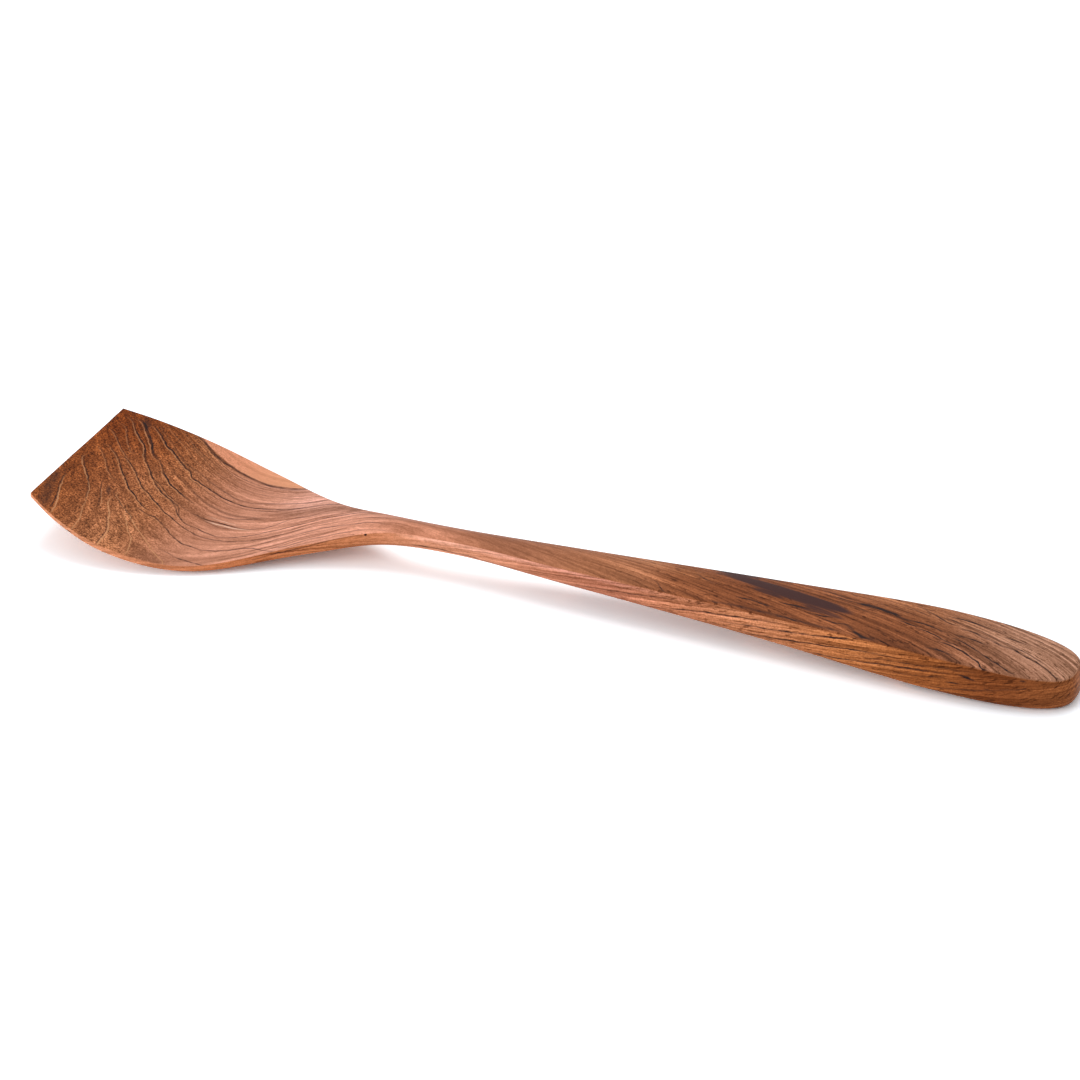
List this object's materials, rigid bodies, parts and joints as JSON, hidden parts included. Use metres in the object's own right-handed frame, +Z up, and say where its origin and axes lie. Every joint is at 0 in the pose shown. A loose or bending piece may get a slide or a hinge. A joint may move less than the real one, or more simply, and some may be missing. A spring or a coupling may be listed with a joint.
{
  "type": "wooden spatula",
  "caption": "One-piece hardwood wok spatula: broad upswept blade with a straight front edge, slender arched neck and flat-topped handle widening to a rounded end.",
  "frame": {"origin": "centre of the bounding box in plan, on the table plane that the blade's belly and the handle's end rest on", "axes": "+X from the blade's front edge to the end of the handle, +Z up from the table, +Y across the blade"},
  "size_m": [0.35, 0.0808, 0.0185],
  "materials": {
    "wood": "oiled satin"
  },
  "bodies": {
    "root": {"spatula_body": "wood"}
  },
  "joints": []
}
